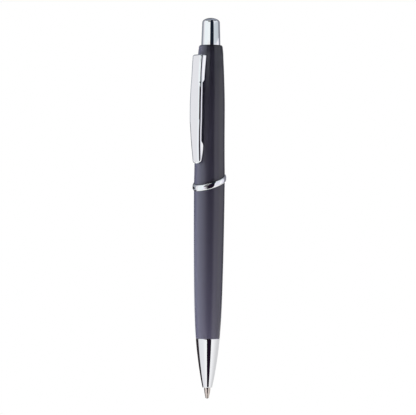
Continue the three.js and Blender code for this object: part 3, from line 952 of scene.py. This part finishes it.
@dataclass
class PocketClip:
    """The clip: a channel pressed from sheet, with closed ends, root flanges and a grip."""

    barrel: UpperBarrel
    sheet: float = 0.5
    bend: float = 1.1  # along the edges
    end_bend: float = 0.6  # across both ends
    end_rounding: float = 1.3
    flange: float = 1.15
    gap: float = 0.12
    rim: float = 0.1
    tongue_width: float = 2.4
    tongue_end: float = 3.8  # from the axis
    distance: Curve = Curve(
        (
            (0, 6.95), (0.07, 7.2), (0.17, 7.55), (0.3, 7.8), (0.41, 7.92), (0.53, 7.92), (0.65, 7.78),
            (0.85, 7.46), (1, 6.97),
        )
    )
    width: Curve = Curve(
        (
            (0, 2), (0.07, 2.22), (0.17, 2.45), (0.3, 2.7), (0.41, 2.97), (0.53, 2.99), (0.65, 2.92),
            (0.85, 2.7), (1, 2.76),
        )
    )
    reach: Curve = Curve(
        ((0, -0.8), (0.02, -0.3), (0.125, 1), (0.16, 1), (0.21, 0), (0.735, 0), (0.77, 0.52), (1, 0.71))
    )
    least_bend: float = 0.1
    bend_across: float = 0.9  # most of the half width that a bend takes
    bend_deep: float = 0.95  # most of the depth
    tongue_skin: float = 0.02  # how much thinner than the sheet it is on either side
    arc_steps: int = 8
    cap_steps: int = 9
    end_steps: int = 14
    rim_steps: int = 3
    stations: int = 150

    def __post_init__(self) -> None:
        """Finds the heights of the lower end and of the root."""
        self.bottom, self.top = AXIS.heights("pocket_clip")

    def share(self, height: float) -> float:
        """Height as a share of the clip's length."""
        return (height - self.bottom) / (self.top - self.bottom)

    def face(self, height: float) -> float:
        """Distance of the clip's face from the axis."""
        return self.distance.at(self.share(height))

    def half_width(self, height: float) -> float:
        """Half the clip's width."""
        return self.width.at(self.share(height))

    def edge(self, height: float) -> float:
        """Finds the flanges' free edges.

        Args:
            height: Where to look.

        Returns:
            The edges' distance from the axis.
        """
        inner = self.half_width(height) - self.sheet
        barrel = math.sqrt(self.barrel.radius(height) ** 2 - inner**2) + self.gap
        arm = self.face(height) - self.flange
        return arm + (barrel - arm) * self.reach.at(self.share(height))

    def heights(self, inset: float) -> list[float]:
        """Heights of the sections, close together where the ends are rounded.

        Args:
            inset: The sheet's thickness for the inner side, or 0.

        Returns:
            The heights, going up.
        """
        low, high = self.bottom + inset, self.top - inset
        foot = low + self.end_rounding - inset
        head = high - max(self.end_bend - inset, self.least_bend)
        turns = spread(0, QUARTER, self.end_steps)
        rounding = [foot - (foot - low) * math.cos(turn) for turn in turns[:-1]]
        root = [head + (high - head) * math.sin(turn) for turn in turns]
        return rounding + spread(foot, head, self.stations)[:-1] + root

    def section(self, height: float, inset: float) -> list[Vector]:
        """One section of the outer side, or of the inner one.

        Args:
            height: Where it lies.
            inset: The sheet's thickness for the inner side, or 0.

        Returns:
            Points from the edge of one flange over the face to the other.
        """
        low, high = self.bottom + inset, self.top - inset
        end_bend = max(self.end_bend - inset, self.least_bend)
        end = drawn_in(height - low, self.end_rounding - inset)
        root = drawn_in(high - height, end_bend)
        half = self.half_width(height) - inset - max(end, root)
        face = self.face(height) - inset - max(drawn_in(height - low, end_bend), root)
        edge = self.edge(min(max(height, self.bottom), self.top)) + self.rim
        bend = min(self.bend - inset, half * self.bend_across, (face - edge) * self.bend_deep)
        arc = [(math.cos(turn), math.sin(turn)) for turn in spread(0, QUARTER, self.arc_steps)]
        points = [Vector((half, -edge, height))]
        for side, turns in ((1, arc), (-1, arc[::-1])):
            for out, up in turns:
                x = side * (half - bend + bend * out)
                points.append(Vector((x, -(face - bend + bend * up), height)))
        points.append(Vector((-half, -edge, height)))
        return points

    def closing(self, section: Sequence[Vector]) -> list[Vector]:
        """Finds the free edge of an end plate.

        Args:
            section: The section that the plate closes.

        Returns:
            Points from the last flange to the first.
        """
        start, end = section[-1], section[0]
        points = []
        for part in spread(0, 1, self.cap_steps)[1:-1]:
            point = start.lerp(end, part)
            radius = self.barrel.radius(point.z) + self.gap + self.rim
            clear = -math.sqrt(max(radius**2 - point.x**2, 0.0))
            point.y = min(point.y, clear)
            points.append(point)
        return points

    def shell(self) -> Object:
        """Builds the sheet: an outer and an inner side, joined by a rounded rim.

        Returns:
            The sheet.
        """
        skin = Skin()
        rims = []
        for inset in (0.0, self.sheet):
            sections = [self.section(height, inset) for height in self.heights(inset)]
            rows = [skin.row(section) for section in sections]
            skin.bridge(rows, closed=False)
            foot, root = (skin.row(self.closing(section)) for section in (sections[0], sections[-1]))
            skin.faces += [[*rows[0], *foot], [*rows[-1], *root]]
            left, right = [row[-1] for row in rows], [row[0] for row in rows]
            rims.append([*left, *root, *reversed(right), *reversed(foot)])
        self.join(skin, *rims)
        return piece("clip_pressed_sheet", skin.points, skin.faces)

    def join(self, skin: Skin, outer: Sequence[int], inner: Sequence[int]) -> None:
        """Joins the outer and inner side along the sheet's cut edge.

        Args:
            skin: The mesh.
            outer: Point numbers of the outer side's edge, all the way round.
            inner: Those of the inner side's edge.
        """
        turns = spread(0, QUARTER, self.rim_steps)[1:]
        steps = [(self.rim * (1 - math.cos(turn)), self.rim * math.sin(turn)) for turn in turns]
        steps += [(self.sheet - across, rise) for across, rise in reversed(steps)]
        ends = [(skin.points[a], skin.points[b]) for a, b in zip(outer, inner)]
        rows = [
            skin.row(a.lerp(b, across / self.sheet) + Vector((0, rise, 0)) for a, b in ends)
            for across, rise in steps
        ]
        skin.bridge([outer, *rows, inner])

    def tongue(self) -> Object:
        """Makes the tongue that hooks into the barrel's slot.

        Returns:
            The tongue.
        """
        tongue = blocked(
            "clip_tongue",
            (-self.tongue_width / 2, self.tongue_width / 2),
            (-self.face(self.top) + self.end_bend, -self.tongue_end),
            (self.top - self.sheet + self.tongue_skin, self.top - self.tongue_skin),
        )
        soften(tongue, FINE)
        return tongue

    def build(self) -> None:
        """Builds the clip."""
        clip = self.shell()
        combine(clip, self.tongue(), Join.ADD)
        seat(clip, CHROMIUM, Body.CLIP, "pocket_clip")


def drawn_in(distance: float, radius: float) -> float:
    """How far a side is drawn in at a distance from an end that is rounded by a radius."""
    left = min(max(radius - distance, 0.0), radius)
    return radius - math.sqrt(radius * radius - left * left)


# The button and what it works


@dataclass
class PushButton:
    """The button: a drawn, plated cap with a domed top."""

    radius: float = 3.5
    taper: float = 0.28
    dome: float = 1.7
    wall: float = 0.6
    guided: float = 0.5  # below the barrel's top, where the taper starts
    mouth_taper: float = 0.02  # share of the taper at the barrel's top
    middle_taper: float = 0.45  # and halfway up to the dome
    dome_steps: int = 22

    def build(self, barrel: UpperBarrel) -> None:
        """Builds the cap, which tapers above the barrel.

        Args:
            barrel: The half that guides it.
        """
        bottom, top = AXIS.heights("push_button")
        foot = top - self.dome
        end = self.radius - self.taper
        ceiling = foot - self.wall
        corners = [
            Corner(0, ceiling),
            Corner(end - self.wall, ceiling, FULL),
            Corner(end - self.wall, bottom, BROKEN),
            Corner(self.radius, bottom, BROKEN),
            Corner(self.radius, barrel.top - self.guided),
            Corner(self.radius - self.taper * self.mouth_taper, barrel.top),
            Corner(self.radius - self.taper * self.middle_taper, (barrel.top + foot) / 2),
            *bow(Corner(0, foot), end, self.dome, (0, QUARTER), self.dome_steps),
        ]
        seat(turned("button_plated_cap", corners), CHROMIUM, Body.PLUNGER, "push_button")


@dataclass
class ClickMechanism:
    """The moulded pieces inside, whose CAD shapes stay as they are."""

    made_of: tuple[tuple[str, Finish], ...] = (
        ("thrust_sleeve", ACETAL),
        ("cam_rotor", ACETAL),
        ("cam_guide_sleeve", NYLON),
        ("barrel_coupling", NYLON),
    )

    def build(self) -> None:
        """Dresses the CAD pieces."""
        for name, finish in self.made_of:
            dress(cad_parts[name], finish)
            log.info("%s: carried over", name)


# The refill


@dataclass
class Refill:
    """The refill: a plastic tube of ink with a turned metal tip."""

    radius: float = 1.5
    wall: float = 0.3
    fit: float = 0.06
    ear_width: float = 1.0
    ear_height: float = 1.2
    ear_reach: float = 2.15
    ear_gap: float = 0.1  # above the spring
    meniscus: float = 0.5
    neck: float = 1.3
    neck_edge: float = 0.12
    neck_length: float = 2.5
    body_length: float = 2.0
    tip_radius: float = 1.175
    tip_length: float = 9.5
    tip_outline: tuple[tuple[float, float, float], ...] = (
        (0.63, 1.1, 0.3), (0.85, 2.2, 1), (1, 3.6, 1),
    )  # share of the tip's radius, height and rounding
    socket_wall: float = 0.1  # at the rim rolled over the ball
    socket_reach: float = 30.0  # degrees below the ball's middle
    shank_radius: float = 0.8
    shank_length: float = 3.5
    ball_radius: float = 0.5
    ball_gap: float = 0.03
    channel: float = 0.2
    plug_cap: float = 1.4
    vent: float = 0.3
    sides: int = 96
    meniscus_steps: int = 10
    cup_steps: int = 16
    ball_steps: int = 32  # from one pole to the other

    def __post_init__(self) -> None:
        """Finds the radius inside the tube, and of what fits into it."""
        self.bore = self.radius - self.wall
        self.inner = self.bore - self.fit

    def tube(self, spring_top: float) -> None:
        """Builds the tube with the two ears that the spring pushes on.

        Args:
            spring_top: Height of the spring's upper end.
        """
        bottom, top = AXIS.heights("refill_tube")
        corners = [
            Corner(self.bore, bottom, KEEN),
            Corner(self.radius, bottom, FINE),
            Corner(self.radius, top, FINE),
            Corner(self.bore, top, KEEN),
        ]
        tube = turned("refill_tube_extruded", corners, self.sides)
        foot = spring_top + self.ear_gap
        inside = (self.radius + self.bore) / 2
        for side in (1, -1):
            ear = blocked(
                "refill_ear",
                sorted((side * inside, side * self.ear_reach)),
                (-self.ear_width / 2, self.ear_width / 2),
                (foot, foot + self.ear_height),
            )
            soften(ear, FINE)
            combine(tube, ear, Join.ADD)
        seat(tube, POLYPROPYLENE, Body.REFILL, "refill_tube")

    def ink(self) -> None:
        """Builds the ink, with a hollow meniscus at its top."""
        bottom, top = AXIS.heights("ink_column")
        meniscus = [
            Corner(self.inner * (1 - share), top - self.meniscus * math.sin(share * QUARTER))
            for share in spread(0, 1, self.meniscus_steps)
        ]
        corners = [Corner(0, bottom), Corner(self.inner, bottom, KEEN), *meniscus]
        seat(turned("ink_in_tube", corners, self.sides), INK_PASTE, Body.REFILL, "ink_column")

    def plug(self) -> None:
        """Builds the vented plug at the tube's upper end."""
        bottom, top = AXIS.heights("refill_end_plug")
        cap = top - self.plug_cap
        corners = [
            Corner(self.vent, bottom),
            Corner(self.inner, bottom, FULL),
            Corner(self.inner, cap),
            Corner(self.radius, cap, FINE),
            Corner(self.radius, top, SOFT),
            Corner(self.vent, top, FINE),
        ]
        plug = turned("refill_plug_moulded", corners, self.sides)
        seat(plug, ACETAL, Body.REFILL, "refill_end_plug")

    def adaptor(self) -> None:
        """Builds the holder between the tube and the tip."""
        bottom, top = AXIS.heights("tip_adaptor")
        step = self.tip_length + self.neck_length
        body_top = step + self.body_length
        hole = self.shank_radius + self.fit
        corners = [
            Corner(hole, bottom),
            Corner(self.neck, bottom, self.neck_edge),
            Corner(self.neck, step),
            Corner(self.radius, step, BROKEN),
            Corner(self.radius, body_top, FINE),
            Corner(self.inner, body_top),
            Corner(self.inner, top, SOFT),
            Corner(hole, top),
        ]
        adaptor = turned("tip_holder_moulded", corners, self.sides)
        seat(adaptor, ACETAL, Body.REFILL, "tip_adaptor")

    def tip(self) -> None:
        """Builds the turned tip, its rim rolled over the ball."""
        socket = self.ball_radius + self.ball_gap
        shank_top = self.tip_length + self.shank_length
        mouth = math.acos(self.channel / socket)
        rim = -math.radians(self.socket_reach)
        cup = bow(Corner(0, self.ball_radius), socket, socket, (mouth, rim), self.cup_steps)
        corners = [
            Corner(self.channel, shank_top),
            *cup,
            Corner(socket + self.socket_wall, cup[-1].height, KEEN),
            *(Corner(self.tip_radius * share, *rest) for share, *rest in self.tip_outline),
            Corner(self.tip_radius, self.tip_length, FINE),
            Corner(self.shank_radius, self.tip_length),
            Corner(self.shank_radius, shank_top, FINE),
        ]
        seat(turned("tip_turned", corners, self.sides), NICKEL_SILVER, Body.REFILL, "writing_tip")

    def ball(self) -> None:
        """Builds the ball."""
        radius = self.ball_radius
        corners = bow(Corner(0, radius), radius, radius, (-QUARTER, QUARTER), self.ball_steps)
        seat(turned("ball_lapped", corners, 2 * self.ball_steps), CARBIDE, Body.BALL, "tip_ball")

    def build(self, spring_top: float) -> None:
        """Builds all the refill's pieces.

        Args:
            spring_top: Height of the spring's upper end.
        """
        self.tube(spring_top)
        self.ink()
        self.plug()
        self.adaptor()
        self.tip()
        self.ball()


@dataclass
class ReturnSpring:
    """The spring round the refill, which shortens and lengthens as the button works."""

    radius: float = 2.0
    wire: float = 0.2
    turns: int = 14
    end_pitch: float = 0.85
    steps: int = 36  # in each turn
    sides: int = 12

    def height(self, turn: float, foot: float, run: float) -> float:
        """Height of the wire: closer turns at both ends, even ones between.

        Args:
            turn: Turns from the lower end.
            foot: Height of the wire's start.
            run: How much higher its end is.

        Returns:
            The height.
        """
        pitch = (run - 2 * self.end_pitch) / (self.turns - 2)
        low = min(turn, 1.0)
        high = max(turn - (self.turns - 1), 0.0)
        return foot + (low + high) * self.end_pitch + (turn - low - high) * pitch

    def build(self) -> None:
        """Winds the spring."""
        bottom, top = AXIS.heights("return_spring")
        foot, run = bottom + self.wire, top - bottom - 2 * self.wire
        line = [
            spoke(self.radius, turn * math.tau, self.height(turn, foot, run))
            for turn in spread(0, self.turns, self.turns * self.steps)
        ]
        spring = wired("return_spring_wound", line, self.wire, self.sides)
        shade(spring)
        dress(spring, MUSIC_WIRE)
        start, end = AXIS.place(Vector((0, 0, bottom))), AXIS.place(Vector((0, 0, top)))
        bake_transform(spring)
        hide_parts("return_spring")
        log.info("%s: %d faces", spring.name, len(spring.data.polygons))


# The studio


@dataclass(frozen=True)
class Card:
    """A curved card that only reflections see. Angles run from the camera to its right."""

    name: str
    start: float
    end: float
    low: float  # metres above the pen's middle
    high: float
    distance: float
    light: float  # at its left edge
    end_light: float  # at its right edge
    tint: str = WHITE


@dataclass(frozen=True)
class Roof:
    """A level card over the pen, part of a disc round a point behind it, for the button's dome."""

    name: str
    inner: float  # radii in metres
    outer: float
    light: float
    tint: str


@dataclass(frozen=True)
class Lamp:
    """A soft box. Angles run from the camera to its right."""

    name: str
    angle: float
    height: float  # metres above the pen's middle
    distance: float
    width: float
    tall: float
    watts: float
    tint: str = WHITE


@dataclass
class Studio:
    """A white studio, the lamps and cards in it, and the camera."""

    azimuth: float = 47.0
    camera_distance: float = 0.8
    view_width: float = 0.1527  # what the camera sees across at the pen
    aim_height: float = 70.19  # of the picture's middle, millimetres above the ball's foot
    aim_left: float = 0.415  # millimetres from the axis to the picture's middle
    roll: float = 0.6  # degrees
    sensor: float = 36.0
    world_fill: float = 0.08
    floor_drop: float = 0.25  # metres below the tip
    floor_radius: float = 0.5
    floor_middle: tuple[float, float, float] = (0.5, 0.5, 0.5)  # as a share of its box
    rim_start: float = 0.15  # of the floor's width, from its middle to where it starts to fade
    rim_end: float = 0.48  # and to where it is white
    rim_sides: int = 96
    card_steps: int = 24
    roof_half: float = 75.0  # degrees to either side
    lamps: tuple[Lamp, ...] = (
        Lamp("key_box", -103, 0.0, 0.7, 0.36, 0.8, 16.6, "#F0FAFA"),
        Lamp("low_front_box", -5, -0.15, 0.06, 0.1, 0.08, 0.4),
        Lamp("back_box", 180, 0.0, 0.7, 0.4, 0.8, 6.0),
    )
    cards: tuple[Card, ...] = (
        Card("camera_side_card", -9, 35, -0.31, 0.106, 0.4, 0.014, 0.014, "#E19DFF"),
        Card("camera_side_button_card", -9, 35, 0.106, 1.6, 0.4, 0.028, 0.028, "#A9CCFF"),
        Card("front_nose_card", -26, -9, -0.31, -0.13, 0.39, 1.0, 1.2),
        Card("fading_card", -42, -7, -0.13, 0.032, 0.39, 1.04, 0.02, "#FAF8FF"),
        Card("upper_fading_card", -41.5, -9, 0.032, 0.102, 0.39, 0.2, 0.01, "#FFEAF2"),
        Card("front_button_card", -40, -9, 0.247, 0.36, 1.5, 1.05, 1.08, "#FAFFFF"),
        Card("front_high_card", -40, -9, 0.36, 1.9, 1.5, 0.1, 0.3, "#FAFFFF"),
        Card("left_card", -106, -86, -0.31, 0.6, 0.5, 0.91, 0.91, "#FCFCFF"),
        Card("left_nose_card", -86, -40, -0.31, -0.13, 0.5, 0.91, 0.94, "#FCFCFF"),
        Card("left_middle_card", -86, -40, -0.13, 0.6, 0.5, 1.04, 1.04, "#F7FEFF"),
        Card("right_nose_card", 35, 120, -0.31, -0.08, 0.5, 1.05, 0.72),
        Card("right_middle_card", 38, 120, -0.08, 0.116, 0.5, 0.97, 0.97, "#F6F5FF"),
        Card("flange_card", 78, 94, -0.08, 0.116, 0.49, 1.1, 1.1),
        Card("right_button_card", 35, 106, 0.116, 0.155, 0.5, 0.76, 0.7, "#F0F9FF"),
        Card("right_top_card", 35, 106, 0.155, 0.6, 0.5, 0.95, 0.85, "#F4F9FF"),
        Card("back_right_button_card", 106, 116, 0.116, 0.6, 0.5, 0.4, 0.3, "#EEF4FF"),
        Card("back_right_low_card", 120, 178, -0.31, -0.08, 0.5, 0.72, 0.72),
        Card("back_right_high_card", 116, 178, -0.08, 0.6, 0.5, 0.3, 0.3, "#EEF0FF"),
        Card("back_left_low_card", -182, -104, -0.31, -0.08, 0.49, 0.03, 0.03, "#FFE8F8"),
        Card("back_left_ring_card", -182, -120, -0.01, 0.035, 0.48, 0.01, 0.03, "#D0D2FF"),
        Card("back_left_high_card", -182, -106, -0.08, 0.6, 0.5, 0.12, 0.5, "#EEF4FF"),
    )
    roofs: tuple[Roof, ...] = (
        Roof("dark_roof_card", 0.62, 0.85, 0.02, "#D6E4FF"),
        Roof("back_roof_card", 0.0, 0.62, 0.38, "#E2ECFF"),
    )
    roof_height: float = 0.6  # metres above the pen's middle
    roof_centre: float = 0.6  # metres behind the pen

    def direction(self, angle: float) -> Vector:
        """Level direction at an angle from the camera to its right."""
        turn = math.radians(self.azimuth + angle)
        return Vector((math.sin(turn), -math.cos(turn), 0))

    @property
    def middle(self) -> Vector:
        """The point of the axis that the camera looks at."""
        return AXIS.place(Vector((0, 0, self.aim_height)))

    def aim(self, made: Object, offset: Vector, roll: float = 0.0) -> None:
        """Points a lamp or the camera back from its place.

        Args:
            made: The lamp or camera.
            offset: The way back to it.
            roll: Degrees that it is turned about its own axis.
        """
        made.rotation_mode = "QUATERNION"
        straight = (-offset).to_track_quat("-Z", "Y")
        made.rotation_quaternion = straight @ Quaternion((0, 0, 1), math.radians(roll))

    def camera(self) -> None:
        """Makes the camera at the photograph's angle and width of view."""
        data = bpy.data.cameras.new("camera")
        data.sensor_width = self.sensor
        data.lens = self.sensor * self.camera_distance / self.view_width
        made = put("camera", data)
        back = self.direction(0)
        left = self.direction(-90) * self.aim_left * MM
        made.location = self.middle + back * self.camera_distance + left
        self.aim(made, back, self.roll)
        bpy.context.scene.camera = made

    def world(self) -> None:
        """Makes the air white to the camera, to metal and to glass, and a soft fill to the rest."""
        made = bpy.data.worlds.new("white_studio")
        tree = cleared(made)
        rays = add(tree, "LightPath").outputs
        seen = rays["Is Camera Ray"]
        for ray in ("Is Glossy Ray", "Is Transmission Ray"):
            seen = add(tree, "Math", {"0": seen, "1": rays[ray]}, operation="MAXIMUM")
        strength = add(tree, "MapRange", {"Value": seen, "To Min": self.world_fill, "To Max": 1.0})
        air = add(tree, "Background", {"Color": linear(WHITE), "Strength": strength})
        add(tree, "OutputWorld", {"Surface": air})
        bpy.context.scene.world = made

    def floor(self) -> None:
        """Makes the pale floor, which fades to the white air at its rim."""
        made = bpy.data.materials.new("floor_paper")
        tree = cleared(made)
        place = add(tree, "TexCoord").outputs["Generated"]
        away = add(tree, "VectorMath", {"0": place, "1": self.floor_middle}, operation="DISTANCE")
        span = {"Value": away, "From Min": self.rim_start, "From Max": self.rim_end}
        rim = add(tree, "MapRange", span, interpolation_type="SMOOTHSTEP")
        paper = add(tree, "BsdfDiffuse", {"Color": linear("#F4F4F2")})
        white = add(tree, "Emission", {"Color": linear(WHITE), "Strength": 1.0})
        mix = add(tree, "MixShader", {"0": rim, "1": paper, "2": white})
        add(tree, "OutputMaterial", {"Surface": mix})
        drop = AXIS.place(Vector((0, 0, 0))) - Vector((0, 0, self.floor_drop))
        turns = [i / self.rim_sides * math.tau for i in range(self.rim_sides)]
        points = [drop + spoke(self.floor_radius, turn, 0) for turn in turns]
        mesh = bpy.data.meshes.new("floor")
        mesh.from_pydata(points, [], [range(self.rim_sides)])
        mesh.materials.append(made)
        put("floor", mesh)

    def glow(self, name: str, left: float, right: float, tint: str) -> Material:
        """Builds a card's light.

        Args:
            name: The card's name.
            left: Light at its left edge.
            right: Light at its right edge.
            tint: Its colour.

        Returns:
            The material.
        """
        made = bpy.data.materials.new(name)
        tree = cleared(made)
        across = add(tree, "Attribute", attribute_name="across").outputs["Fac"]
        span = {"Value": across, "To Min": left, "To Max": right}
        light = add(tree, "MapRange", span, interpolation_type="SMOOTHSTEP")
        glow = add(tree, "Emission", {"Color": linear(tint), "Strength": light})
        add(tree, "OutputMaterial", {"Surface": glow})
        return made

    def put_up(self, name: str, points: Sequence[Vector], glow: Material) -> None:
        """Puts up a card where only reflections see it.

        Args:
            name: The card's name.
            points: Its corners from left to right, two at each step.
            glow: Its light.
        """
        steps = len(points) // 2 - 1
        faces = [(2 * i, 2 * i + 2, 2 * i + 3, 2 * i + 1) for i in range(steps)]
        mesh = bpy.data.meshes.new(name)
        mesh.from_pydata(points, [], faces)
        shares = mesh.attributes.new("across", "FLOAT", "POINT")
        shares.data.foreach_set("value", [i // 2 / steps for i in range(len(points))])
        mesh.materials.append(glow)
        sheet = put(name, mesh)
        sheet.visible_camera = False
        sheet.visible_diffuse = False
        sheet.visible_transmission = False
        sheet.visible_shadow = False

    def hang(self, card: Card) -> None:
        """Hangs one card, curved round the pen.

        Args:
            card: The card.
        """
        points = []
        for angle in spread(card.start, card.end, self.card_steps):
            spot = self.middle + self.direction(angle) * card.distance
            points.extend(spot + Vector((0, 0, z)) for z in (card.low, card.high))
        self.put_up(card.name, points, self.glow(card.name, card.light, card.end_light, card.tint))

    def cover(self, roof: Roof) -> None:
        """Lays one level card over the pen.

        Args:
            roof: The card.
        """
        centre = self.middle - self.direction(0) * self.roof_centre + Vector((0, 0, self.roof_height))
        points = []
        for angle in spread(-self.roof_half, self.roof_half, self.card_steps):
            out = self.direction(angle)
            points.extend((centre + out * roof.inner, centre + out * roof.outer))
        self.put_up(roof.name, points, self.glow(roof.name, roof.light, roof.light, roof.tint))

    def light(self, lamp: Lamp) -> None:
        """Sets up one soft box, aimed at the pen's middle. Reflections see the white air instead.

        Args:
            lamp: The soft box.
        """
        data = bpy.data.lights.new(lamp.name, "AREA")
        data.shape = "RECTANGLE"
        data.size, data.size_y = lamp.width, lamp.tall
        data.energy = lamp.watts
        data.color = linear(lamp.tint)[:3]
        made = put(lamp.name, data)
        offset = self.direction(lamp.angle) * lamp.distance + Vector((0, 0, lamp.height))
        made.location = self.middle + offset
        self.aim(made, offset)
        made.visible_camera = False
        made.visible_glossy = False

    def build(self) -> None:
        """Builds the whole studio."""
        self.world()
        self.floor()
        for card in self.cards:
            self.hang(card)
        for roof in self.roofs:
            self.cover(roof)
        for lamp in self.lamps:
            self.light(lamp)
        bpy.context.scene.view_settings.view_transform = "Standard"
        log.info("studio: %d cards, %d lamps", len(self.cards), len(self.lamps))


def main() -> None:
    """Builds the camera, the pen and the studio."""
    logging.basicConfig(level=logging.INFO, format="%(message)s")
    studio = Studio()
    studio.camera()
    ring = CentreRing()
    upper = UpperBarrel(ring)
    clip = PocketClip(upper)
    ring.build()
    LowerBarrel(ring).build()
    upper.build(clip)
    NoseCone().build()
    clip.build()
    PushButton().build(upper)
    ClickMechanism().build()
    ReturnSpring().build()
    Refill().build(AXIS.heights("return_spring")[1])
    studio.build()


if __name__ == "__main__":
    main()
